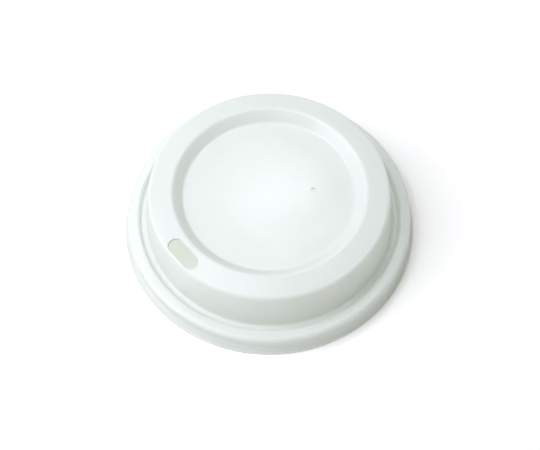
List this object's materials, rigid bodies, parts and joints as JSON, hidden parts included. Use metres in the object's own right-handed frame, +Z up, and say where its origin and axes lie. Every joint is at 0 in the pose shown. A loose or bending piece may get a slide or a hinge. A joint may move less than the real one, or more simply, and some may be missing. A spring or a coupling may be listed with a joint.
{
  "type": "plastic drinking lid",
  "caption": "Thin white domed lid that snaps over the rolled rim of a takeaway cup, with a raised drinking rim, a sip hole and a pinhole vent.",
  "frame": {"origin": "centre of the base, on the plane that the foot stands on", "axes": "+Z up along the axis of the round lid, -Y towards the sip hole, +X to its right seen from above with the sip hole at the bottom"},
  "size_m": [0.0932, 0.0932, 0.0218],
  "materials": {
    "white_plastic": "satin white formed sheet, slightly translucent at its thin edges"
  },
  "bodies": {
    "root": {"lid": "white_plastic"}
  },
  "joints": []
}
